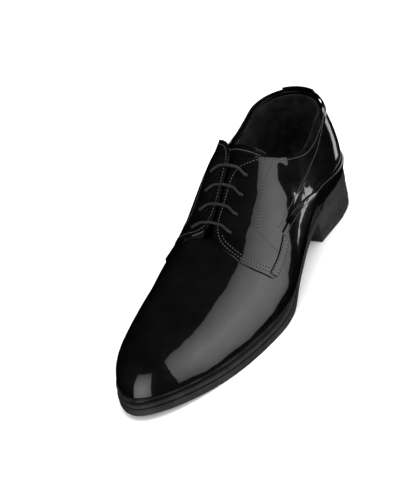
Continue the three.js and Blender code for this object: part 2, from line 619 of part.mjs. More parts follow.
add("lace", solid(new THREE.ExtrudeGeometry(laceSection,
  { steps: route.length - 1, extrudePath: lacePath, bevelEnabled: false, curveSegments: 1 })), LACE);
[[route[0], route[1]], [route[route.length - 1], route[route.length - 2]]].forEach(([end, before], i) => {
  const heading = end.clone().sub(before).normalize();
  const aglet = new THREE.CylinderGeometry(1.35, 1.35, AGLET_LENGTH, 10).rotateX(quarterTurn);
  const turn = new THREE.Quaternion().setFromUnitVectors(new THREE.Vector3(0, 0, 1), heading);
  aglet.applyQuaternion(turn);
  const middle = end.clone().addScaledVector(heading, AGLET_LENGTH / 2 + CLEARANCE);
  aglet.translate(middle.x, middle.y, middle.z);
  add(`aglet_${i + 1}`, solid(aglet), LACE);
});

export default group;
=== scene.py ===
import math

import bmesh
import bpy
import numpy as np
from mathutils import Matrix, Quaternion, Vector


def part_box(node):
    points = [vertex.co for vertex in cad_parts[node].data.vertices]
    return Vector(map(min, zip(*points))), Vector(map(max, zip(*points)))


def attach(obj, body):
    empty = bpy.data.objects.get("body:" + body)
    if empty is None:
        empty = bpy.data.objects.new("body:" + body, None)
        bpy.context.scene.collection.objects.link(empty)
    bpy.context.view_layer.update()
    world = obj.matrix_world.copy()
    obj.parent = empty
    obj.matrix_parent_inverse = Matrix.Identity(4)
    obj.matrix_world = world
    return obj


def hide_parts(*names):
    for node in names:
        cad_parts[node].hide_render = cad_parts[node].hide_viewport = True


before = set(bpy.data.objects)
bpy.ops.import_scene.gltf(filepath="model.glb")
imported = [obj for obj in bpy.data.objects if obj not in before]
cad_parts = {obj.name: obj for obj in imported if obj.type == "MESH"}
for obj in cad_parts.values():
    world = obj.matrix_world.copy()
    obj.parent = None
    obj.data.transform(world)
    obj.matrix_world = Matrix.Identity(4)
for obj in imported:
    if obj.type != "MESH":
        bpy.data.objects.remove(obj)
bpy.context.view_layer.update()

MM = 0.001
QUARTER_TURN = math.pi / 2
MERGE_DISTANCE = 2e-6  # metres; corners this close are one
SLIVER = 1e-6  # metres; edges this short are dissolved
SHARP_EDGE = math.radians(50)  # an edge that turns more is shaded sharp
RIM_ANGLE = math.radians(48)  # an edge that turns more is rounded

# ------------------------------------------------------------------ camera
CAMERA_AZIMUTH = 36.9  # from the toe's direction towards the outer side, degrees
CAMERA_HEIGHT_ANGLE = 33.75
CAMERA_ROLL = -15.3
CAMERA_DISTANCE = 1.2118
CAMERA_LENS = 144.0
CAMERA_TARGET = Vector((-0.00357, -0.0346, 0.03356))


def heading_to(side, lift):
    """The direction at an angle from the toe's direction, and at an angle above the ground."""
    return Vector((math.cos(side) * math.cos(lift), math.sin(side) * math.cos(lift), math.sin(lift)))


def place_camera():
    data = bpy.data.cameras.new("studio_camera")
    camera = bpy.data.objects.new("studio_camera", data)
    bpy.context.scene.collection.objects.link(camera)
    bpy.context.scene.camera = camera
    side, lift = math.radians(CAMERA_AZIMUTH), math.radians(CAMERA_HEIGHT_ANGLE)
    back = heading_to(side, lift)
    turn = back.to_track_quat("Z", "Y") @ Quaternion((0, 0, 1), math.radians(CAMERA_ROLL))
    camera.rotation_euler = turn.to_euler()
    camera.location = CAMERA_TARGET + back * CAMERA_DISTANCE
    data.sensor_fit = "HORIZONTAL"
    data.sensor_width = 36.0
    data.lens = CAMERA_LENS
    data.clip_start = 0.02
    data.clip_end = 20.0


place_camera()

# ------------------------------------------------------------------ the last that every shell follows
SHOE_LENGTH = 300.0
FOREPART_LEVEL = 9.2
HEEL_STATION = 42.0
HEEL_RUN = 55.0
BACK_REACH = 37.9
HEEL_ROUNDNESS = 2.15
TIP_STATION = 293.0
TIP_Y = -12.0
TIP_RUN = HEEL_RUN + TIP_STATION - HEEL_STATION
BALL = {1: (164.0, 1.4, 1.84), -1: (213.0, 2.3, 2.0)}
NOSE_STATION = 215.0
STRETCH_STATION = 200.0
HEEL_TUCK = 3.0


class Spline:
    """A cubic with continuous curvature, flat at its start, and flat or free at its end."""

    def __init__(self, knots, flat_end=False):
        self.x = np.array([k[0] for k in knots], float)
        self.y = np.array([k[1] for k in knots], float)
        count = len(knots)
        step = np.diff(self.x)
        slope = np.diff(self.y) / step
        table = np.zeros((count, count))
        right = np.zeros(count)
        for i in range(count):
            before = step[i - 1] if i else 0.0
            after = step[i] if i < count - 1 else 0.0
            table[i, i] = 2 * (before + after)
            if i:
                table[i, i - 1] = before
            if i < count - 1:
                table[i, i + 1] = after
            right[i] = 6 * ((slope[i] if i < count - 1 else 0) - (slope[i - 1] if i else 0))
        if not flat_end:
            table[-1] = 0
            table[-1, -1] = 1
            right[-1] = 0
        self.bend = np.linalg.solve(table, right)

    def __call__(self, at):
        at = np.clip(np.asarray(at, float), self.x[0], self.x[-1])
        i = np.clip(np.searchsorted(self.x, at) - 1, 0, len(self.x) - 2)
        h = self.x[i + 1] - self.x[i]
        a = (self.x[i + 1] - at) / h
        b = 1 - a
        curved = (a**3 - a) * self.bend[i] + (b**3 - b) * self.bend[i + 1]
        return a * self.y[i] + b * self.y[i + 1] + curved * h * h / 6


half_width = {
    1: Spline([(42, 30), (72, 29.3), (102, 34.5), (132, 41.5), (164, 46)], True),
    -1: Spline([
        (42, -34.5), (72, -34.2), (102, -33), (132, -36.5), (162, -41.5), (190, -45.8), (213, -44.3)], True),
}
seat_level = Spline([
    (42, 31), (60, 30.455), (80, 28.275), (100, 24.242), (120, 19.664), (140, 15.304), (160, 10.8),
    (180, 9.2), (205, 9.0), (232, 9.2), (250, 10), (270, 11.8), (294, 14.2)])
full_height = Spline([
    (42, 104), (100, 93), (125, 83), (150, 73), (175, 62), (197, 51.5), (220, 44.5), (245, 38), (270, 35),
    (294, 34)])
ridge_line = Spline([(42, -3), (125, -2), (160, -0.5), (200, -4), (294, -12)])
widest_level = Spline([(42, 18), (100, 20), (150, 18), (200, 10), (294, 8)])
tuck = {
    1: Spline([(42, 2.5), (100, 4), (150, 4.5), (200, 2), (294, 1.5)]),
    -1: Spline([(42, 2.5), (100, 7), (150, 7), (200, 2.5), (294, 1.5)]),
}
cross_power = Spline([(42, 1.5), (125, 1.95), (160, 1.85), (200, 2.05), (240, 2.05), (294, 2.2)])
crown_power = Spline([(42, 1.7), (125, 2), (160, 1.7), (200, 1.85), (240, 2), (294, 2.1)])


def falling(share, along, across):
    return np.maximum(1 - np.clip(share, 0, 1) ** along, 0) ** (1 / across)


def girth_shares(station, girth, reach, tucked, crown, widest):
    """A section's width share and its height above the sole, at a girth from -1 to 1."""
    turn = np.abs(girth) * QUARTER_TURN
    width_up = np.cos(turn).clip(0, 1) ** (2 / cross_power(station))
    height_up = widest + (crown - widest) * np.sin(turn).clip(0, 1) ** (2 / crown_power(station))
    sweep = np.arccos(np.clip(1 - tucked / np.maximum(reach, 1e-6), 0, 0.999))
    width_down = np.cos(sweep * -girth)
    height_down = widest * (1 - np.sin(sweep * -girth) / np.sin(sweep))
    over = girth >= 0
    return np.where(over, width_up, width_down), np.where(over, height_up, height_down)


def on_last(run, girth, offset=0.0):
    """Points in metres at (run, girth), offset outwards in millimetres."""
    run, girth, offset = np.broadcast_arrays(
        np.asarray(run, float), np.asarray(girth, float), np.asarray(offset, float))
    out = np.where(run < 0, -1.0, 1.0)
    distance = np.abs(run)
    # ahead of the heel: upright sections
    station = HEEL_STATION + np.maximum(distance - HEEL_RUN, 0)
    reach_out = TIP_STATION + offset
    share = (station - STRETCH_STATION) / (TIP_STATION - STRETCH_STATION)
    stretched = STRETCH_STATION + share * (reach_out - STRETCH_STATION)
    station = np.where(station > STRETCH_STATION, stretched, station)
    width = np.empty_like(station)
    tucked = np.empty_like(station)
    for side in (1, -1):
        ball, along, across = BALL[side]
        w = half_width[side](np.minimum(station, ball)) + side * offset
        narrowed = falling((station - ball) / (reach_out - ball), along, across)
        w = np.where(station > ball, TIP_Y + (w - TIP_Y) * narrowed, w)
        width = np.where(out == side, w, width)
        tucked = np.where(out == side, tuck[side](station), tucked)
    nose = falling((station - NOSE_STATION) / (reach_out - NOSE_STATION), 3, 2)
    ridge = TIP_Y + (ridge_line(station) - TIP_Y) * nose
    reach = width - ridge
    across, up = girth_shares(
        station, girth, np.abs(reach), tucked * nose, (full_height(station) + offset) * nose,
        widest_level(station) * nose)
    ahead = np.stack([station - SHOE_LENGTH / 2, ridge + reach * across, seat_level(station) + up], -1)
    # round the heel: sections that fan about its centre
    angle = np.clip(distance / HEEL_RUN, 0, 1) * QUARTER_TURN
    heel_ridge = ridge_line(HEEL_STATION)
    side_width = np.where(out < 0, half_width[-1](HEEL_STATION), half_width[1](HEEL_STATION))
    side_reach = np.abs(side_width - heel_ridge) + offset
    back_reach = BACK_REACH + offset
    crown = full_height(HEEL_STATION) + offset
    widest = widest_level(HEEL_STATION)
    across_side, heel_up = girth_shares(HEEL_STATION, girth, side_reach, HEEL_TUCK, crown, widest)
    across_back, _ = girth_shares(HEEL_STATION, girth, back_reach, HEEL_TUCK, crown, widest)
    aside = np.sin(angle) / np.maximum(side_reach * across_side, 1e-6)
    behind = np.cos(angle) / np.maximum(back_reach * across_back, 1e-6)
    radius = (aside**HEEL_ROUNDNESS + behind**HEEL_ROUNDNESS) ** (-1 / HEEL_ROUNDNESS)
    round_heel = np.stack([
        HEEL_STATION - radius * np.cos(angle) - SHOE_LENGTH / 2, heel_ridge + out * radius * np.sin(angle),
        seat_level(HEEL_STATION) + heel_up], -1)
    return np.where((distance < HEEL_RUN)[..., None], round_heel, ahead) * MM


def run_at(station):
    return HEEL_RUN + station - HEEL_STATION


def ease(value, start, end):
    share = np.clip((np.asarray(value, float) - start) / (end - start), 0, 1)
    return share * share * (3 - 2 * share)


def mix(a, b, share):
    return a + (b - a) * share


# ------------------------------------------------------------------ layers, millimetres from the last
LINING = 1.0
LEATHER = 1.2
PANEL = 1.0
SHELL_CLEARANCE = 0.45
PANEL_LOW = LINING + SHELL_CLEARANCE
PANEL_HIGH = PANEL_LOW + 0.7 + SHELL_CLEARANCE * 1.7


def panel_outer(run):
    return mix(PANEL_HIGH, PANEL_LOW, ease(np.abs(run), 98, 135)) + PANEL


def vamp_inner(run):
    return panel_outer(run) + mix(0.9, SHELL_CLEARANCE, ease(np.abs(run), 70, 125))


def vamp_outer(run):
    return vamp_inner(run) + LEATHER


FACING_IN = PANEL_LOW + PANEL + SHELL_CLEARANCE * 2.4 + LEATHER


def quarter_outer(run):
    return mix(vamp_inner(run), FACING_IN, ease(np.abs(run), 116, 138)) + LEATHER


# ------------------------------------------------------------------ pieces
def lengths_along(path):
    """The distance from the path's start to each of its points."""
    return np.concatenate([[0], np.cumsum(np.linalg.norm(np.diff(path, axis=0), axis=1))])


CURVE_STEPS = 24  # between two given points of a seam
GIRTH_WEIGHT = 100  # a unit of girth counts as this many millimetres of a seam's length


def curve_through(points):
    """A smooth curve through (run, girth) points, as a function of its share from 0 to 1."""
    p = np.array(points, float)
    q = np.vstack([2 * p[0] - p[1], p, 2 * p[-1] - p[-2]])
    t = np.linspace(0, 1, CURVE_STEPS, endpoint=False)[:, None]
    runs = []
    for i in range(1, len(q) - 2):
        a, b, c, d = q[i - 1], q[i], q[i + 1], q[i + 2]
        square, cube = 2 * a - 5 * b + 4 * c - d, 3 * b - a - 3 * c + d
        runs.append(0.5 * (2 * b + (c - a) * t + square * t**2 + cube * t**3))
    fine = np.vstack(runs + [p[-1:]])
    length = lengths_along(fine * [1, GIRTH_WEIGHT])
    length /= length[-1]

    def at(share):
        share = np.asarray(share, float)
        return np.stack([np.interp(share, length, fine[:, 0]), np.interp(share, length, fine[:, 1])], -1)

    return at


def new_piece(name, mesh, material, body="shoe", stands_for=()):
    piece = bpy.data.objects.new(name, mesh)
    bpy.context.scene.collection.objects.link(piece)
    mesh.materials.append(material)
    mesh.shade_smooth()
    mesh.set_sharp_from_angle(angle=SHARP_EDGE)
    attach(piece, body)
    if stands_for:
        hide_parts(*stands_for)
    return piece


def finished_mesh(name, bm):
    bmesh.ops.remove_doubles(bm, verts=bm.verts, dist=MERGE_DISTANCE)
    bmesh.ops.dissolve_degenerate(bm, edges=bm.edges, dist=SLIVER)
    bmesh.ops.recalc_face_normals(bm, faces=bm.faces)
    mesh = bpy.data.meshes.new(name)
    bm.to_mesh(mesh)
    bm.free()
    return mesh


def round_rims(bm, width, segments=2):
    """Rounds every edge of a closed shape that turns more than RIM_ANGLE."""
    bmesh.ops.recalc_face_normals(bm, faces=bm.faces)
    rims = [edge for edge in bm.edges if len(edge.link_faces) == 2 and edge.calc_face_angle(0.0) > RIM_ANGLE]
    bmesh.ops.bevel(
        bm, geom=rims, offset=width * MM, segments=segments, profile=0.5, affect="EDGES", clamp_overlap=True,
        material=-1)


def sheet_bmesh(columns, rows, place, keep=None):
    """A walled sheet: a grid extruded once, each (u, v) placed by place(u, v, outer)."""
    bm = bmesh.new()
    bmesh.ops.create_grid(bm, x_segments=columns, y_segments=rows, size=0.5)
    layer = bm.loops.layers.uv.new("UVMap")
    for face in bm.faces:
        for loop in face.loops:
            loop[layer].uv = (loop.vert.co.x + 0.5, loop.vert.co.y + 0.5)
    if keep:
        middles = {face: face.calc_center_median() for face in bm.faces}
        dropped = [face for face, middle in middles.items() if not keep(middle.x + 0.5, middle.y + 0.5)]
        bmesh.ops.delete(bm, geom=dropped, context="FACES")
    grown = bmesh.ops.extrude_face_region(bm, geom=bm.faces[:])
    raised = {item for item in grown["geom"] if isinstance(item, bmesh.types.BMVert)}
    verts = list(bm.verts)
    u = np.array([v.co.x + 0.5 for v in verts])
    w = np.array([v.co.y + 0.5 for v in verts])
    outer = np.array([v in raised for v in verts])
    for vert, point in zip(verts, place(u, w, outer)):
        vert.co = point
    bmesh.ops.remove_doubles(bm, verts=bm.verts, dist=MERGE_DISTANCE)
    bmesh.ops.dissolve_degenerate(bm, edges=bm.edges, dist=SLIVER)
    return bm


CUT_EDGE = 0.45  # rounding of a leather edge


def shell(name, columns, rows, low, top, inner, outer, material, stands_for=(), rim=CUT_EDGE):
    """A leather or lining piece between two seams and two offsets from the last."""

    def place(u, v, is_outer):
        bottom, upper = low(u), top(u)
        run = mix(bottom[:, 0], upper[:, 0], v)
        offset = np.where(is_outer, outer(np.abs(run)), inner(np.abs(run)))
        return on_last(run, mix(bottom[:, 1], upper[:, 1], v), offset)

    bm = sheet_bmesh(columns, rows, place)
    round_rims(bm, rim)
    return new_piece(name, finished_mesh(name, bm), material, "shoe", stands_for)


def level(value):
    return lambda run: value + 0 * run


def mirrored(points, side):
    return [(run * side, girth) for run, girth in points]


# ------------------------------------------------------------------ finishes
class Finish:
    """A node material: the shader, and a few helpers that add a pattern to it."""

    def __init__(self, name, color, roughness, **sockets):
        self.material = bpy.data.materials.new(name)
        self.material.use_nodes = True
        self.tree = self.material.node_tree
        self.shader = self.tree.nodes["Principled BSDF"]
        self.set(self.shader, "Base Color", (*color, 1))
        self.set(self.shader, "Roughness", roughness)
        for socket, value in sockets.items():
            self.set(self.shader, socket.replace("_", " "), value)
        self.place = self.tree.nodes.new("ShaderNodeTexCoord")
        self.height = None

    @staticmethod
    def set(node, socket, value):
        node.inputs[socket].default_value = value

    def node(self, kind, **sockets):
        made = self.tree.nodes.new("ShaderNode" + kind)
        for socket, value in sockets.items():
            self.set(made, socket.replace("_", " "), value)
        return made

    def link(self, source, target):
        self.tree.links.new(source, target)

    def noise(self, scale, detail=3.0, coordinates="Object", stretch=None, distortion=0.0):
        noise = self.node("TexNoise", Scale=scale, Detail=detail, Distortion=distortion)
        source = self.place.outputs[coordinates]
        if stretch:
            mapping = self.node("Mapping", Scale=stretch)
            self.link(source, mapping.inputs["Vector"])
            source = mapping.outputs["Vector"]
        self.link(source, noise.inputs["Vector"])
        return noise.outputs["Fac"]

    def grains(self, scale, coordinates="Object"):
        cells = self.node("TexVoronoi", Scale=scale)
        self.link(self.place.outputs[coordinates], cells.inputs["Vector"])
        return cells.outputs["Distance"]

    def blend_to(self, socket, pattern, low, high, start=0.3, end=0.7):
        """The socket goes from low to high as the pattern goes from start to end."""
        scale = self.node("MapRange", From_Min=start, From_Max=end)
        self.link(pattern, scale.inputs["Value"])
        if isinstance(low, tuple):
            colors = self.node("Mix")
            colors.data_type = "RGBA"
            colors.inputs[6].default_value = (*low, 1)
            colors.inputs[7].default_value = (*high, 1)
            self.link(scale.outputs["Result"], colors.inputs[0])
            self.link(colors.outputs[2], self.shader.inputs[socket])
        else:
            self.set(scale, "To Min", low)
            self.set(scale, "To Max", high)
            self.link(scale.outputs["Result"], self.shader.inputs[socket])

    def raise_by(self, pattern, distance, strength=1.0, coat=False):
        bump = self.node("Bump", Strength=strength, Distance=distance)
        self.link(pattern, bump.inputs["Height"])
        if self.height:
            self.link(self.height, bump.inputs["Normal"])
        self.height = bump.outputs["Normal"]
        self.link(self.height, self.shader.inputs["Normal"])
        if coat:
            self.link(self.height, self.shader.inputs["Coat Normal"])


def patent_leather():
    f = Finish(
        "patent_leather", (0.002, 0.002, 0.002), 0.3, Coat_Weight=1.0, Coat_Roughness=0.02, Coat_IOR=1.55,
        IOR=1.5, Specular_IOR_Level=0.06)
    f.blend_to("Base Color", f.noise(60.0), (0.0012, 0.0012, 0.0013), (0.0028, 0.0028, 0.0029))
    f.blend_to("Roughness", f.noise(300.0), 0.24, 0.36)
    f.raise_by(f.noise(30.0, 1.5), 0.0019, 1.0, True)
    f.raise_by(f.noise(420.0, 2.0), 0.000012, 1.0, True)
    return f.material


def suede_lining():
    f = Finish(
        "suede_lining", (0.008, 0.008, 0.008), 0.9, Sheen_Weight=0.03, Sheen_Roughness=0.5,
        Specular_IOR_Level=0.1)
    nap = f.noise(110.0, 5.0)
    f.blend_to("Base Color", nap, (0.004, 0.004, 0.0042), (0.014, 0.014, 0.0142), 0.38, 0.65)
    f.blend_to("Roughness", f.noise(900.0), 0.82, 0.97)
    f.raise_by(f.grains(1900.0), 0.00012, 0.6)
    f.raise_by(f.noise(300.0, 4.0), 0.00015, 0.5)
    return f.material


def sole_rubber():
    f = Finish("sole_rubber", (0.012, 0.012, 0.013), 0.6, Specular_IOR_Level=0.35)
    f.blend_to("Base Color", f.noise(90.0, 5.0), (0.008, 0.008, 0.009), (0.018, 0.018, 0.019))
    f.blend_to("Roughness", f.noise(240.0, 4.0), 0.5, 0.72)
    f.raise_by(f.grains(1400.0), 0.00008, 0.6)
    f.raise_by(f.noise(180.0, 3.0), 0.0001, 0.4)
    return f.material


def sole_tread():
    f = Finish("sole_tread", (0.014, 0.014, 0.015), 0.75, Specular_IOR_Level=0.3)
    f.blend_to("Base Color", f.noise(40.0, 6.0), (0.009, 0.009, 0.01), (0.021, 0.021, 0.022))
    f.blend_to("Roughness", f.noise(150.0, 4.0), 0.62, 0.85)
    f.raise_by(f.grains(1100.0), 0.00012, 0.7)
    return f.material


def waxed_lace():
    f = Finish("waxed_lace", (0.012, 0.012, 0.013), 0.5, Specular_IOR_Level=0.4)
    strand = f.node("TexWave", Scale=1.0, Distortion=0.6, Detail=1.0)
    strand.bands_direction = "DIAGONAL"
    mapping = f.node("Mapping", Scale=(190.0, 2.6, 1.0))
    f.link(f.place.outputs["UV"], mapping.inputs["Vector"])
    f.link(mapping.outputs["Vector"], strand.inputs["Vector"])
    weave = strand.outputs["Fac"]
    f.blend_to("Base Color", weave, (0.005, 0.005, 0.0055), (0.02, 0.02, 0.021), 0.0, 1.0)
    f.blend_to("Roughness", f.noise(700.0), 0.4, 0.6)
    f.raise_by(weave, 0.00025, 0.8)
    return f.material


def stitching_thread():
    f = Finish("stitching_thread", (0.06, 0.06, 0.062), 0.45, Specular_IOR_Level=0.5)
    f.blend_to("Base Color", f.noise(1500.0), (0.04, 0.04, 0.042), (0.085, 0.085, 0.087))
    f.raise_by(f.noise(2600.0, 2.0, stretch=(1, 1, 3)), 0.00006, 0.8)
    return f.material


# painted shade: a near-black matte finish for the needle holes, standing in for the shade and broken
# reflection in each hole
def painted_needle_shade():
    f = Finish("painted_needle_shade", (0.003, 0.003, 0.003), 0.9, Specular_IOR_Level=0.05)
    f.blend_to("Base Color", f.noise(900.0), (0.001, 0.001, 0.001), (0.005, 0.005, 0.005))
    return f.material


def lace_tip():
    f = Finish("lace_tip", (0.01, 0.01, 0.011), 0.28)
    f.blend_to("Roughness", f.noise(500.0, 4.0, stretch=(1, 1, 6)), 0.2, 0.42)
    f.raise_by(f.noise(260.0), 0.00005, 0.4)
    return f.material


def black_metal():
    f = Finish("black_metal", (0.03, 0.03, 0.032), 0.4, Metallic=0.9)
    f.blend_to("Roughness", f.noise(900.0, 4.0), 0.3, 0.5)
    f.blend_to("Base Color", f.noise(400.0, 4.0), (0.02, 0.02, 0.021), (0.06, 0.058, 0.055))
    f.raise_by(f.noise(1200.0), 0.00002, 0.5)
    return f.material


def bright_steel():
    f = Finish("bright_steel", (0.45, 0.46, 0.48), 0.35, Metallic=1.0)
    f.blend_to("Roughness", f.noise(300.0, 5.0, stretch=(0.15, 1, 1)), 0.25, 0.5)
    f.blend_to("Base Color", f.noise(120.0, 5.0), (0.36, 0.36, 0.37), (0.5, 0.51, 0.53))
    f.raise_by(f.noise(700.0, 2.0, stretch=(0.1, 1, 1)), 0.00002, 0.5)
    return f.material


def fibre_board():
    f = Finish("fibre_board", (0.2, 0.13, 0.075), 0.9)
    fibres = f.noise(500.0, 6.0, stretch=(0.3, 1, 1))
    f.blend_to("Base Color", fibres, (0.13, 0.085, 0.05), (0.26, 0.18, 0.11))
    f.raise_by(f.noise(1100.0, 4.0), 0.0001, 0.6)
    return f.material


def cork_filler():
    f = Finish("cork_filler", (0.25, 0.15, 0.08), 0.95)
    f.blend_to("Base Color", f.grains(450.0), (0.12, 0.07, 0.035), (0.34, 0.22, 0.12), 0.0, 0.8)
    f.raise_by(f.grains(450.0), 0.0003, 0.7)
    return f.material


PATENT = patent_leather()
SUEDE = suede_lining()
RUBBER = sole_rubber()
TREAD = sole_tread()
LACE = waxed_lace()
THREAD = stitching_thread()
TIP = lace_tip()
PAINTED_NEEDLE_SHADE = painted_needle_shade()

for look, nodes in (
    (black_metal(), [f"{side}_eyelet_{i}" for side in ("lateral", "medial") for i in (1, 2, 3, 4)]),
    (bright_steel(), ["shank"] + [f"heel_nail_{i}" for i in (1, 2, 3, 4, 5)]),
    (fibre_board(), ["insole_board", "heel_counter", "toe_puff"]),
    (SUEDE, ["lateral_eyelet_stay", "medial_eyelet_stay"]),
    (cork_filler(), ["bottom_filler"]),
):
    for node in nodes:
        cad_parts[node].data.materials.clear()
        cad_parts[node].data.materials.append(look)

# ------------------------------------------------------------------ seams of the upper, as (run, girth)
COLLAR = [(12, 0.37), (45, 0.35), (61, 0.31), (75, 0.28), (89, 0.29), (104, 0.365), (117, 0.48),
          (129, 0.67)]
FACING_EDGE = [(137, 0.83), (143, 0.92), (151, 0.96), (168, 0.965), (182, 0.96)]
FACING_FRONT_TOP = [(191, 0.915), (197, 0.83)]
QUARTER_SEAM = [(16, 0.335), (45, 0.3), (60, 0.245), (75, 0.185), (91, 0.16), (104, 0.165), (123, 0.215),
                (149, 0.325), (160, 0.37)]
OUTER_FRONT_LOW = [(162.5, 0.35), (163.5, 0.28), (166, 0.258), (176, 0.252), (186, 0.248),
                   (189.5, 0.262), (193, 0.35), (197, 0.47), (199.5, 0.6)]
OUTER_EDGE = [(13, 0.37)] + COLLAR[1:] + FACING_EDGE + FACING_FRONT_TOP
# the inner quarter's facing reaches the ridge and ends further back
INNER_FRONT_LOW = [(168, 0.354), (177, 0.38), (184, 0.45), (189, 0.58)]
INNER_EDGE = [(13, 0.37)] + COLLAR[1:4] + [
    (89, 0.29), (99, 0.36), (109, 0.5), (119, 0.668), (123, 0.77), (128, 0.9), (134, 0.97), (143, 0.992),
    (168, 0.995), (182, 0.99), (189, 0.95), (192, 0.83)]
WING_TOP = [(22, -0.5), (45, -0.4), (60, -0.28), (81, -0.06), (97, 0.03), (116, 0.11), (136, 0.205),
            (153, 0.29), (165, 0.345), (193, 0.46)]
PANEL_FOOT = [(162, 0.25), (136, 0.1), (116, 0.01), (97, -0.08), (81, -0.2), (60, -0.45), (42, -0.8),
              (32, -0.98), (12, -0.98)]
PANEL_TOP = [(162, 0.45), (149, 0.4), (123, 0.3), (103, 0.255), (89, 0.25), (75, 0.265), (45, 0.335),
             (12, 0.365)]
THROAT_RUN = 193.0
WING_END_RUN = 22.0
SIDES = (("lateral", 1), ("medial", -1))

# ------------------------------------------------------------------ the vamp, one skin from wing to wing
VAMP_COLUMNS = 200
WING_SHARE = 0.52  # of the vamp's columns, from the wings' ends to the throat
LOW_ROWS = 46  # below the wing's top line
CROWN_ROWS = 30  # between that line and the ridge
LOW_SHARE = LOW_ROWS / (LOW_ROWS + CROWN_ROWS)
WING_FINE = curve_through(WING_TOP)(np.linspace(0, 1, 200))


def vamp_place(u, v, is_outer):
    wing = u <= WING_SHARE
    run = np.where(
        wing, mix(WING_END_RUN, THROAT_RUN, u / WING_SHARE),
        mix(THROAT_RUN, TIP_RUN, np.sin((u - WING_SHARE) / (1 - WING_SHARE) * QUARTER_TURN)))
    side = np.where(v < 0.5, 1.0, -1.0)
    part = 1 - np.abs(2 * v - 1)  # 0 at either lower edge, 1 on the ridge
    top = np.interp(run, WING_FINE[:, 0], WING_FINE[:, 1])
    low = mix(-1.0, top, np.clip(part / LOW_SHARE, 0, 1))
    girth = np.where(part <= LOW_SHARE + 1e-6, low, mix(top, 1.0, (part - LOW_SHARE) / (1 - LOW_SHARE)))
    return on_last(run * side, girth, np.where(is_outer, vamp_outer(run), vamp_inner(run)))


def vamp_keep(u, v):
    """Behind the throat the vamp is only its two wings."""
    return u > WING_SHARE or 1 - abs(2 * v - 1) < LOW_SHARE


vamp_mesh = sheet_bmesh(VAMP_COLUMNS, 2 * (LOW_ROWS + CROWN_ROWS), vamp_place, vamp_keep)
round_rims(vamp_mesh, CUT_EDGE)
new_piece(
    "vamp_leather", finished_mesh("vamp_leather", vamp_mesh), PATENT, "shoe", ["vamp"])


# ------------------------------------------------------------------ back panel, quarters and side tabs
def both_sides(half):
    return half + mirrored(half, -1)[::-1]


shell(
    "back_panel_leather", 220, 30, curve_through(both_sides(PANEL_FOOT)),
    curve_through(both_sides(PANEL_TOP)), lambda run: panel_outer(run) - PANEL, panel_outer, PATENT,
    ["back_panel"])

STRAP_RUN = 14.5
shell(
    "back_strap_leather", 40, 14, curve_through([(-STRAP_RUN, 0.3), (0, 0.292), (STRAP_RUN, 0.3)]),
    curve_through([(-STRAP_RUN, 0.38), (0, 0.384), (STRAP_RUN, 0.38)]),
    lambda run: quarter_outer(run) + 0.1, lambda run: quarter_outer(run) + 0.8, PATENT,
    (), 0.4)

TAB_LOW = [(161, 0.262), (175, 0.256), (188, 0.252)]
TAB_TOP = [(161.5, 0.338), (175, 0.334), (190.5, 0.33)]
TAB_BACK_RUN = 163


def tab_face(run):
    """The tab lies on the quarter, pressed a little into it."""
    return quarter_outer(np.maximum(run, TAB_BACK_RUN)) + LEATHER * 0.9


EYELET_RUNS = (184, 171, 158, 145)
EYELET_GIRTH = 0.78
HOLE_RADIUS = 1.75
PUNCH_LENGTH = 14
PUNCH_LEVEL = 6  # of the punch's middle


class EyeletFrame:
    """Axes at an eyelet: out of the shoe, towards the ridge, and along to the toe."""

    def __init__(self, side, run):
        level_in = FACING_IN / 2

        def near(ahead, above):
            return on_last((run + ahead) * side, EYELET_GIRTH + above, level_in)

        middle = Vector(near(0, 0))
        self.along = Vector(near(1, 0) - near(-1, 0)).normalized()
        upward = Vector(near(0, 0.02) - near(0, -0.02))
        self.inward = (upward - self.along * upward.dot(self.along)).normalized()
        self.out = self.along.cross(self.inward) * -side
        self.base = middle - self.out * level_in * MM

    def point(self, inward, along, out):
        return self.base + (self.inward * inward + self.along * along + self.out * out) * MM


FRAMES = {side: [EyeletFrame(side, run) for run in EYELET_RUNS] for _, side in SIDES}


def punch(piece, side):
    """Cuts the eyelet holes right through a piece."""
    bm = bmesh.new()
    for place in FRAMES[side]:
        axis = place.out.to_track_quat("Z", "Y").to_matrix().to_4x4()
        spot = Matrix.Translation(place.point(0, 0, PUNCH_LEVEL)) @ axis
        bmesh.ops.create_cone(
            bm, cap_ends=True, segments=24, radius1=HOLE_RADIUS * MM, radius2=HOLE_RADIUS * MM,
            depth=PUNCH_LENGTH * MM, matrix=spot)
    mesh = bpy.data.meshes.new("punch")
    bm.to_mesh(mesh)
    bm.free()
    tool = bpy.data.objects.new("punch", mesh)
    bpy.context.scene.collection.objects.link(tool)
    cut = piece.modifiers.new("punch", "BOOLEAN")
    cut.operation = "DIFFERENCE"
    cut.solver = "EXACT"
    cut.object = tool
    graph = bpy.context.evaluated_depsgraph_get()
    shaped = bpy.data.meshes.new_from_object(piece.evaluated_get(graph))
    piece.modifiers.clear()
    piece.data = shaped
    bpy.data.objects.remove(tool)
    shaped.shade_smooth()
    shaped.set_sharp_from_angle(angle=SHARP_EDGE)


for name, side in SIDES:
    front, edge = (OUTER_FRONT_LOW, OUTER_EDGE) if side > 0 else (INNER_FRONT_LOW, INNER_EDGE)
    low = curve_through(mirrored(QUARTER_SEAM + front, side))
    quarter = shell(
        f"{name}_quarter_leather", 190, 44, low, curve_through(mirrored(edge, side)),
        lambda run: quarter_outer(run) - LEATHER, quarter_outer, PATENT,
        [f"{name}_quarter"])
    punch(quarter, side)
    shell(
        f"{name}_bar_tab", 30, 12, curve_through(mirrored(TAB_LOW, side)),
        curve_through(mirrored(TAB_TOP, side)), lambda run: tab_face(run) - LEATHER, tab_face, PATENT,
        [f"{name}_side_tab"], 0.4)

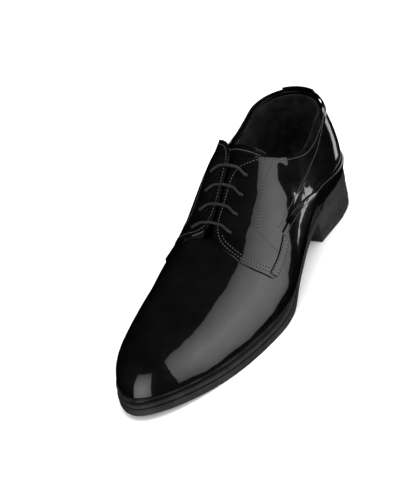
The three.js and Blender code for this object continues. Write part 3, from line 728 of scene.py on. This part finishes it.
# ------------------------------------------------------------------ linings
GRIP_END_RUN = 57 * 0.997
LINING_BACK_RUN = 57.1
LINING_FRONT_RUN = 195
LINING_EDGE = 0.3  # rounding of a lining's edge
OUTER_LINING_TOP = [
    (57.1, 0.335), (75, 0.28), (89, 0.285), (104, 0.36), (117, 0.47), (129, 0.65), (138, 0.81), (146, 0.88),
    (155, 0.9), (175, 0.91), (195, 0.92)]
INNER_LINING_TOP = [
    (57.1, 0.335), (75, 0.28), (89, 0.285), (99, 0.355), (109, 0.49), (119, 0.65), (125, 0.77),
    (132, 0.87), (142, 0.91), (155, 0.92), (175, 0.92), (195, 0.92)]


def grip_foot(u):
    return np.stack([mix(-GRIP_END_RUN, GRIP_END_RUN, u), -1 + 0 * u], -1)


def grip_top(u):
    return np.stack([mix(-GRIP_END_RUN, GRIP_END_RUN, u), 0.365 - 0.02 * np.abs(2 * u - 1)], -1)


def lining_foot(side):
    return lambda u: np.stack([side * mix(LINING_BACK_RUN, LINING_FRONT_RUN, u), -1 + 0 * u], -1)


shell(
    "heel_grip", 60, 40, grip_foot, grip_top, level(0), level(LINING), SUEDE,
    ["heel_grip_lining"], LINING_EDGE)
for (name, side), top in zip(SIDES, (OUTER_LINING_TOP, INNER_LINING_TOP)):
    lining = shell(
        f"{name}_lining", 60, 40, lining_foot(side), curve_through(mirrored(top, side)), level(0),
        level(LINING), SUEDE, [f"{name}_quarter_lining"], LINING_EDGE)
    punch(lining, side)


def fore_lining_place(u, v, is_outer):
    run = mix(LINING_FRONT_RUN + 1, TIP_RUN, np.sin(u * QUARTER_TURN))
    side = np.where(v < 0.5, 1.0, -1.0)
    girth = 1 - 2 * np.abs(2 * v - 1)
    return on_last(run * side, girth, np.where(is_outer, LINING, 0.0))


fore_lining = finished_mesh("fore_lining", sheet_bmesh(50, 64, fore_lining_place))
new_piece("fore_lining", fore_lining, SUEDE, "shoe", ["vamp_lining"])

# ------------------------------------------------------------------ tongue
TONGUE_TOP_RUN = 119.5
TONGUE_SIDE_SWEEP = 5.0  # how much further back its top corners reach
TONGUE_ROLL = 2.2  # how far its top edge rolls inwards
TONGUE_ROOT_RUN = run_at(191)
TONGUE_RISE_RUN = run_at(176)  # from here it rises to its root
TONGUE_GIRTH = 0.58
TONGUE_DEPTH = 4.5
TONGUE_ROOT_GAP = 0.8
TONGUE_THICKNESS = 1.3


def tongue_sheet(name, columns, rows, depth, thickness, material, stands_for):
    def place(u, v, is_outer):
        across = v * 2 - 1
        run = mix(TONGUE_TOP_RUN - TONGUE_SIDE_SWEEP * np.abs(across) ** 2, TONGUE_ROOT_RUN, u)
        roll = TONGUE_ROLL * (1 - ease(u, 0, 0.1))
        root = -TONGUE_ROOT_GAP - (depth - TONGUE_DEPTH)
        sunk = -roll + mix(-depth, root, ease(run, TONGUE_RISE_RUN, TONGUE_ROOT_RUN - 7))
        girth = 1 - (1 - TONGUE_GIRTH) * np.abs(across)
        return on_last(np.where(across < 0, -run, run), girth, sunk - np.where(is_outer, 0.0, thickness))

    bm = sheet_bmesh(columns, rows, place)
    round_rims(bm, 0.4)
    return new_piece(name, finished_mesh(name, bm), material, "tongue", stands_for)


FELT_DEPTH = TONGUE_DEPTH + TONGUE_THICKNESS + 0.3
FELT_THICKNESS = 0.8
tongue_sheet(
    "tongue_leather", 60, 60, TONGUE_DEPTH, TONGUE_THICKNESS, PATENT, ["tongue"])
tongue_sheet("tongue_felt", 50, 50, FELT_DEPTH, FELT_THICKNESS, SUEDE, ["tongue_lining"])

# ------------------------------------------------------------------ the lace
LACE_RADIUS = 1.2
LACE_DRAWN_SHARE = 0.88  # of the lace's radius, as it is pulled tight
LACE_RIBS = 0.05
PLAIT_PITCH = 0.55
BAR_LEVEL = FACING_IN + LEATHER + LACE_RADIUS + 0.2
UNDER_LEVEL = -LACE_RADIUS - 1
route = []


def over(index, from_side):
    run = EYELET_RUNS[index]
    for side, girth, lift in ((1, 0.88, 0), (1, 0.94, 0.1), (1, 1, 0.2), (-1, 0.94, 0.1), (-1, 0.88, 0)):
        route.append(Vector(on_last(run * from_side * side, girth, BAR_LEVEL + lift)))


def down(place, heading):
    for inward, along, out in (
            (2.3, 0, BAR_LEVEL), (0.9, 0, BAR_LEVEL - 0.7), (0.1, 0, BAR_LEVEL - 2.2), (0, 0, 1.4),
            (0, 0.5 * heading, UNDER_LEVEL + 1.1), (0, 1.7 * heading, UNDER_LEVEL + 0.15)):
        route.append(place.point(inward, along, out))


def up(place, heading):
    start = len(route)
    down(place, heading)
    route[start:] = route[start:][::-1]


def under(*points):
    for run, girth, deeper in points:
        route.append(Vector(on_last(run, girth, UNDER_LEVEL - deeper)))


OUTER, INNER = FRAMES[1], FRAMES[-1]
under((193, 0.33, 2.5), (187, 0.36, 2), (179, 0.44, 1), (171, 0.56, 0.5), (165, 0.68, 0))
up(OUTER[2], 1)
over(2, 1)
down(INNER[2], 1)
under((-165, 0.73, 0), (-171, 0.69, 0), (-178, 0.73, 0))
up(INNER[0], -1)
over(0, -1)
down(OUTER[0], -1)
under((177.5, 0.78, 0))
up(OUTER[1], 1)
over(1, 1)
down(INNER[1], -1)
under((-165, 0.81, 0), (-158, 0.85, 0), (-151, 0.82, 0))
up(INNER[3], 1)
over(3, -1)
down(OUTER[3], 1)
under((150, 0.66, 0), (157, 0.54, 0.5), (165, 0.44, 1), (175, 0.34, 2), (183, 0.27, 2.5))


def smooth_path(points, steps):
    """A centripetal curve through the points, evenly divided between each pair."""
    p = np.array([tuple(q) for q in points])
    p = np.vstack([2 * p[0] - p[1], p, 2 * p[-1] - p[-2]])
    fine = []
    for i in range(1, len(p) - 2):
        four = p[i - 1:i + 3]
        gaps = np.maximum(np.linalg.norm(np.diff(four, axis=0), axis=1), 1e-6) ** 0.5
        t0, t1, t2, t3 = np.concatenate([[0], np.cumsum(gaps)])
        t = np.linspace(t1, t2, steps, endpoint=False)[:, None]
        a = (t1 - t) / (t1 - t0) * four[0] + (t - t0) / (t1 - t0) * four[1]
        b = (t2 - t) / (t2 - t1) * four[1] + (t - t1) / (t2 - t1) * four[2]
        c = (t3 - t) / (t3 - t2) * four[2] + (t - t2) / (t3 - t2) * four[3]
        d = (t2 - t) / (t2 - t0) * a + (t - t0) / (t2 - t0) * b
        e = (t3 - t) / (t3 - t1) * b + (t - t1) / (t3 - t1) * c
        fine.append((t2 - t) / (t2 - t1) * d + (t - t1) / (t2 - t1) * e)
    return np.vstack(fine + [p[-2:-1]])


def tube(name, path, radius, around, material, stands_for, ribs):
    """A cord along the path, with u along it and v round it, closed at both ends."""
    length = lengths_along(path)
    tangent = np.gradient(path, axis=0)
    tangent /= np.linalg.norm(tangent, axis=1)[:, None]
    normal = np.zeros_like(path)
    normal[0] = np.cross(tangent[0], (0, 0, 1))
    for i in range(1, len(path)):
        n = normal[i - 1] - tangent[i] * normal[i - 1].dot(tangent[i])
        normal[i] = n / np.linalg.norm(n)
    normal[0] /= np.linalg.norm(normal[0])
    binormal = np.cross(tangent, normal)
    columns = len(path) - 1
    bm = bmesh.new()
    bmesh.ops.create_grid(bm, x_segments=columns, y_segments=around, size=0.5)
    layer = bm.loops.layers.uv.new("UVMap")
    for face in bm.faces:
        for loop in face.loops:
            loop[layer].uv = (
                length[round((loop.vert.co.x + 0.5) * columns)] / length[-1], loop.vert.co.y + 0.5)
    for vert in bm.verts:
        i = round((vert.co.x + 0.5) * columns)
        turn = (vert.co.y + 0.5) * 2 * math.pi
        wound = length[i] / (PLAIT_PITCH * MM)
        weave = math.sin(4 * turn + wound) * math.sin(4 * turn - wound)
        reach = radius * MM * (1 + ribs * weave)
        vert.co = path[i] + (normal[i] * math.cos(turn) + binormal[i] * math.sin(turn)) * reach
    bmesh.ops.remove_doubles(bm, verts=bm.verts, dist=SLIVER)
    bmesh.ops.holes_fill(bm, edges=[e for e in bm.edges if e.is_boundary], sides=0)
    return new_piece(name, finished_mesh(name, bm), material, "shoe", stands_for)


lace_path = smooth_path(route, 8)
tube(
    "lace_cord", lace_path, LACE_RADIUS * LACE_DRAWN_SHARE, 16, LACE, ["lace"], LACE_RIBS)
TIP_LENGTH = 20.0
TIP_RADII = (1.3, 1.15)
for number, (end, before) in enumerate(((route[0], route[1]), (route[-1], route[-2])), 1):
    heading = (end - before).normalized()
    low, high = (Vector(corner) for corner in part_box(f"aglet_{number}"))
    middle = (low + high) / 2
    bm = bmesh.new()
    bmesh.ops.create_cone(
        bm, cap_ends=True, segments=32, radius1=TIP_RADII[0] * MM, radius2=TIP_RADII[1] * MM,
        depth=TIP_LENGTH * MM,
        matrix=Matrix.Translation(middle) @ heading.to_track_quat("Z", "Y").to_matrix().to_4x4())
    round_rims(bm, 0.3, 3)
    new_piece(
        f"lace_tip_{number}", finished_mesh(f"lace_tip_{number}", bm), TIP, "shoe",
        [f"aglet_{number}"])

# ------------------------------------------------------------------ the sole
TOE_OVERHANG = 7.0
WELT_START = 72.0
GAP = 0.3
WELT_THICKNESS = 3.4
TOP_PIECE = 5.7
INSOLE = 2.2
SOCK = 1.0


WAIST_OVERHANG = {1: 2.6, -1: 2.2}
FOREPART_OVERHANG = {1: 8.0, -1: 7.35}


def sole_overhang(run, side):
    """How far the sole's edge stands out from the last, in millimetres."""
    waist, forepart = WAIST_OVERHANG[side], FOREPART_OVERHANG[side]
    heel = mix(float(vamp_outer(0)) + GAP, waist, ease(run, 70, 125))
    ball = mix(waist, forepart, ease(run, 145, 200))
    toe = mix(forepart, TOE_OVERHANG, ease(run, 230, 300))
    return np.where(run < 140, heel, np.where(run < 230, ball, toe))


def foot_edge(run, side, extra):
    return on_last(run * side, -1, sole_overhang(run, side) + extra)


def ground_lift(station):
    return np.maximum(seat_level(station) - FOREPART_LEVEL, 0)


def under_welt(station):
    return seat_level(station) - GAP * 2 - WELT_THICKNESS


def plate(name, columns, rows, extra, top, bottom, to_run, material, stands_for, rim=0.5, keep=None):
    """A plate from the heel's back whose edge follows the sole at extra millimetres."""

    def place(u, v, is_top):
        run = to_run * np.sin(u * QUARTER_TURN)
        lateral = foot_edge(run, 1, extra)
        medial = foot_edge(run, -1, extra)
        crowded = (1 - np.cos(v * math.pi)) / 2
        point = medial + (lateral - medial) * mix(v, crowded, 0.7)[:, None]
        station = point[:, 0] / MM + SHOE_LENGTH / 2
        point[:, 2] = np.where(is_top, top(station), bottom(station)) * MM
        return point

    bm = sheet_bmesh(columns, rows, place)
    if keep:
        keep(bm)
    round_rims(bm, rim, 3)
    return new_piece(name, finished_mesh(name, bm), material, "shoe", stands_for)


def outsole_top(station):
    """Full height under the heel; in front of it the welt lies on top."""
    stepped = ease(station, WELT_START - 8, WELT_START - 3)
    return mix(seat_level(station) - GAP, under_welt(station), stepped)


plate(
    "outsole_rubber", 150, 24, 0.0, outsole_top, ground_lift, TIP_RUN, RUBBER, ["outsole"],
    0.6)
BREAST_RUN = run_at(78)
plate(
    "heel_block_rubber", 60, 16, -0.4, lambda s: ground_lift(s) - GAP, level(TOP_PIECE + GAP), BREAST_RUN,
    RUBBER, ["heel_block"])


# the chevron line across the heel's foot: a flat tip and two slanting arms, in millimetres
CHEVRON_TIP = 46.0
CHEVRON_SHOULDER = 58.0
CHEVRON_FLAT = 9.0
CHEVRON_WIDE = 34.0


def chevron_cut(front_side):
    """Keeps the part of the heel's foot behind, or ahead of, the chevron line."""

    def keep(bm):
        shift = (GAP if front_side else 0.0) - SHOE_LENGTH / 2
        tip, hip = (CHEVRON_TIP + shift) * MM, (CHEVRON_SHOULDER + shift) * MM
        flat, wide = CHEVRON_FLAT * MM, CHEVRON_WIDE * MM
        arms = [(Vector((tip, sign * flat, 0)), Vector((hip, sign * wide, 0)), sign) for sign in (1, -1)]
        planes = [(a, Vector(((b - a).y, -(b - a).x, 0)) * sign) for a, b, sign in arms]
        planes.append((Vector((tip, 0, 0)), Vector((1, 0, 0))))
        for spot, normal in planes:
            bmesh.ops.bisect_plane(
                bm, geom=bm.verts[:] + bm.edges[:] + bm.faces[:], dist=1e-7, plane_co=spot, plane_no=normal)

        def ahead(p):
            line = tip + max(abs(p.y) - flat, 0) / (wide - flat) * (hip - tip)
            return p.x > line

        gone = [f for f in bm.faces if ahead(f.calc_center_median()) != front_side]
        bmesh.ops.delete(bm, geom=gone, context="FACES")
        bmesh.ops.remove_doubles(bm, verts=bm.verts, dist=MERGE_DISTANCE)
        bmesh.ops.holes_fill(bm, edges=[e for e in bm.edges if e.is_boundary], sides=0)

    return keep


for name, node, front_side in (
        ("heel_top_rubber", "heel_top_piece", False), ("heel_front_rubber", "heel_front_pad", True)):
    plate(
        name, 60, 20, -0.8, level(TOP_PIECE), level(0), BREAST_RUN, TREAD, [node], 0.4,
        chevron_cut(front_side))

WELT_COLUMNS = 260
WELT_INNER_EDGE = -9.0
# the band's section, step by step round it: share of its width, and share of its height
WELT_STEPS = [0, 1, 4, 5, 6, 7, 8, 11, 12]
WELT_REACH = [0, 0.3, 0.93, 0.99, 1, 0.99, 0.93, 0, 0]
WELT_RISE = [1, 1, 1, 0.85, 0.5, 0.15, 0, 0, 1]


def welt_band():
    """A band round the forepart, with a closed cross-section and a rounded rim."""
    bm = bmesh.new()
    bmesh.ops.create_grid(bm, x_segments=WELT_COLUMNS, y_segments=WELT_STEPS[-1], size=0.5)
    u = np.array([v.co.x * 2 for v in bm.verts])
    step = np.array([v.co.y + 0.5 for v in bm.verts]) * WELT_STEPS[-1]
    run = mix(run_at(WELT_START), TIP_RUN, np.sin((1 - np.abs(u)) * QUARTER_TURN))
    side = np.where(u < 0, 1.0, -1.0)
    reach = np.where(side > 0, sole_overhang(run, 1), sole_overhang(run, -1)) - 0.5
    outer = on_last(run * side, -1, reach)
    inner = on_last(run * side, -1, WELT_INNER_EDGE)
    point = inner + (outer - inner) * np.interp(step, WELT_STEPS, WELT_REACH)[:, None]
    station = point[:, 0] / MM + SHOE_LENGTH / 2
    low, high = under_welt(station) + GAP, seat_level(station) - GAP
    point[:, 2] = mix(low, high, np.interp(step, WELT_STEPS, WELT_RISE)) * MM
    for vert, place in zip(bm.verts, point):
        vert.co = place
    bmesh.ops.remove_doubles(bm, verts=bm.verts, dist=SLIVER)
    bmesh.ops.holes_fill(bm, edges=[e for e in bm.edges if e.is_boundary], sides=0)
    new_piece("welt_band", finished_mesh("welt_band", bm), RUBBER, "shoe", ["welt"])


welt_band()

BOARD_TOP = GAP + INSOLE + GAP
plate(
    "sock", 80, 40, -1.0, lambda s: seat_level(s) + BOARD_TOP + SOCK, lambda s: seat_level(s) + BOARD_TOP,
    TIP_RUN, SUEDE, ["sock_lining"], LINING_EDGE)

# ------------------------------------------------------------------ stitching
STITCH_PITCH = 2.4
STITCH_SIZE = (0.78, 0.36, 0.32)  # half length, half width and half height, mm
NEEDLE_HOLE = (0.5, 0.5, 0.16)
ALONG_STEP = 0.002  # share of a seam's length, to find its direction


def seam(points, inset=0.0):
    """A stitch line through the points, moved sideways by inset in girth."""
    curve = curve_through(points)
    return lambda share: curve(share) + [0, inset]


def lying_along(before, here, after, above):
    """The turn of a stitch that runs from before to after, with its back towards above."""
    along = Vector(after - before).normalized()
    out = Vector(above - here)
    out = (out - along * out.dot(along)).normalized()
    return Matrix((along, out.cross(along), out)).transposed().to_4x4()


def oval(bm, spot, turn, size):
    shape = Matrix.Diagonal((*(half * MM for half in size), 1))
    return bmesh.ops.create_icosphere(
        bm, subdivisions=1, radius=1.0, matrix=Matrix.Translation(spot) @ turn @ shape)


def stitch_row(bm, seam_at, lift, side):
    """Small oval stitches end to end along a seam on one side of the shoe, each followed by a dark matte
    oval at its needle hole: painted shade.
    """
    share = np.linspace(0, 1, 400)
    points = seam_at(share)
    path = on_last(points[:, 0] * side, points[:, 1], lift(points[:, 0]))
    length = lengths_along(path) / MM
    count = max(int(length[-1] / STITCH_PITCH), 1)
    for k in range(count):
        at = np.interp((k + 0.5) * length[-1] / count, length, share)
        ends = seam_at(np.array([at - ALONG_STEP, at, at + ALONG_STEP]))
        before, here, after = on_last(ends[:, 0] * side, ends[:, 1], lift(ends[:, 0]))
        above = on_last(ends[1, 0] * side, ends[1, 1], lift(ends[1, 0]) + 1.0)
        turn = lying_along(before, here, after, above)
        oval(bm, here, turn, STITCH_SIZE)
        # a dark matte oval at the needle hole after each stitch: painted shade
        hole = oval(bm, here + turn.col[0].to_3d() * STITCH_PITCH / 2 * MM, turn, NEEDLE_HOLE)
        for face in {face for vert in hole["verts"] for face in vert.link_faces}:
            face.material_index = 1


def stitching_piece(name, bm, body):
    mesh = bpy.data.meshes.new(name)
    bm.to_mesh(mesh)
    bm.free()
    return new_piece(name, mesh, THREAD, body)


def stitching(name, rows):
    """Rows on both sides of the shoe, or on one where a row names its side."""
    bm = bmesh.new()
    for seam_at, lift, *sides in rows:
        for side in sides or (1, -1):
            stitch_row(bm, seam_at, lift, side)
    stitching_piece(name, bm, "shoe").data.materials.append(PAINTED_NEEDLE_SHADE)


stitching("collar_stitching", [
    (seam(COLLAR, -0.024), quarter_outer, 1),
    (seam([(129, 0.65), (138, 0.79), (144, 0.875), (152, 0.92), (168, 0.93), (181, 0.925), (189, 0.885),
              (194, 0.82), (196.5, 0.73), (197, 0.6), (194.5, 0.46), (190.5, 0.35)]), quarter_outer, 1),
    (seam(COLLAR[:4] + [(89, 0.29), (99, 0.35), (110, 0.48), (121, 0.655)], -0.024), quarter_outer, -1),
    (seam([(121, 0.635), (126, 0.76), (131, 0.88), (137, 0.94), (145, 0.958), (168, 0.96), (180, 0.955),
              (186.5, 0.92), (189, 0.83), (188, 0.7), (186, 0.58), (181, 0.465), (176, 0.41), (168, 0.385)]),
     quarter_outer, -1)])
stitching("edge_stitching", [
    (seam([(189, 0.85), (192, 0.8), (194, 0.72), (194.6, 0.61), (192, 0.47), (188, 0.36)]),
     quarter_outer, 1)])
stitching("stay_stitching", [
    (seam([(124, 0.555), (139, 0.6), (158, 0.614), (169, 0.6), (174, 0.55), (175, 0.45), (174, 0.36)]),
     quarter_outer)])
stitching("bar_stitching", [
    (seam([(163, 0.274), (175, 0.269), (187.5, 0.266)]), tab_face),
    (seam([(163, 0.322), (175, 0.32), (189, 0.317)]), tab_face)])
stitching("wing_stitching", [
    (seam([(26, -0.52), (45, -0.44), (60, -0.32), (81, -0.095), (97, 0.0), (116, 0.085), (136, 0.178),
              (153, 0.262), (163, 0.31)]), vamp_outer)])
stitching("seam_stitching", [
    (seam([(16, 0.35), (45, 0.322), (60, 0.27), (75, 0.208), (91, 0.183), (104, 0.188), (123, 0.238),
              (149, 0.348), (160, 0.392)]), quarter_outer)])

TONGUE_STITCHES = 30
TONGUE_ROW_REACH = 0.82  # of the tongue's half width
TONGUE_ROW_INSET = 5.5


def tongue_stitching():
    """One row along the tongue's top edge."""
    bm = bmesh.new()
    across = np.linspace(-TONGUE_ROW_REACH, TONGUE_ROW_REACH, TONGUE_STITCHES)
    run = TONGUE_TOP_RUN - TONGUE_SIDE_SWEEP * across**2 + TONGUE_ROW_INSET
    run = np.where(across < 0, -run, run)
    girth = 1 - (1 - TONGUE_GIRTH) * np.abs(across)
    path = on_last(run, girth, -TONGUE_DEPTH)
    above = on_last(run, girth, 1 - TONGUE_DEPTH)
    for k in range(1, len(path) - 1):
        oval(bm, path[k], lying_along(path[k - 1], path[k], path[k + 1], above[k]), STITCH_SIZE)
    stitching_piece("tongue_stitching", bm, "tongue")


tongue_stitching()

# ------------------------------------------------------------------ studio
SPREAD = 115.0  # degrees; the boxes are brightest in their middles
AIM = (0, 0, 0.04)
SOFTBOXES = (
    # name, angle to the right of the camera, height angle, distance, width, height, power, seen in gloss
    ("side_softbox", 60, 12, 1.6, 2.26, 3.3, 22.0, True),
    ("toe_softbox", -34, -1, 1.6, 1.7, 3.4, 19.0, True),
    ("back_softbox", 150, 22, 1.7, 1.6, 0.8, 5.0, True),
    ("heel_softbox", 128, -18, 1.6, 0.35, 0.5, 0.4, True),
    ("overhead_softbox", 0, 88, 2.2, 1.6, 1.6, 14.0, False),
)


def softbox(name, place, width, height, power):
    light = bpy.data.lights.new(name, "AREA")
    light.shape = "RECTANGLE"
    light.size = width
    light.size_y = height
    light.energy = power
    light.spread = math.radians(SPREAD)
    lamp = bpy.data.objects.new(name, light)
    bpy.context.scene.collection.objects.link(lamp)
    lamp.location = place
    lamp.rotation_euler = (Vector(AIM) - place).to_track_quat("-Z", "Y").to_euler()
    return lamp


FLOOR_REACH = 6.0
WORLD_BRIGHTNESS = 0.95


def pale_floor():
    bm = bmesh.new()
    bmesh.ops.create_grid(bm, x_segments=4, y_segments=4, size=FLOOR_REACH)
    mesh = bpy.data.meshes.new("studio_floor")
    bm.to_mesh(mesh)
    bm.free()
    floor = bpy.data.objects.new("studio_floor", mesh)
    bpy.context.scene.collection.objects.link(floor)
    look = Finish("studio_paper", (0.93, 0.93, 0.93), 0.9, Specular_IOR_Level=0.1)
    look.blend_to("Base Color", look.noise(3.0), (0.92, 0.92, 0.92), (0.94, 0.94, 0.94))
    mesh.materials.append(look.material)
    floor.visible_glossy = False


pale_floor()
bpy.context.scene.view_settings.view_transform = "Standard"
world = bpy.data.worlds.new("studio")
bpy.context.scene.world = world
world.use_nodes = True
backdrop = world.node_tree.nodes["Background"]
backdrop.inputs["Color"].default_value = (1, 1, 1, 1)
backdrop.inputs["Strength"].default_value = WORLD_BRIGHTNESS
world.cycles_visibility.glossy = False
for name, turn, rise, distance, width, height, power, in_gloss in SOFTBOXES:
    spot = heading_to(math.radians(CAMERA_AZIMUTH + turn), math.radians(rise)) * distance
    softbox(name, spot, width, height, power).visible_glossy = in_gloss
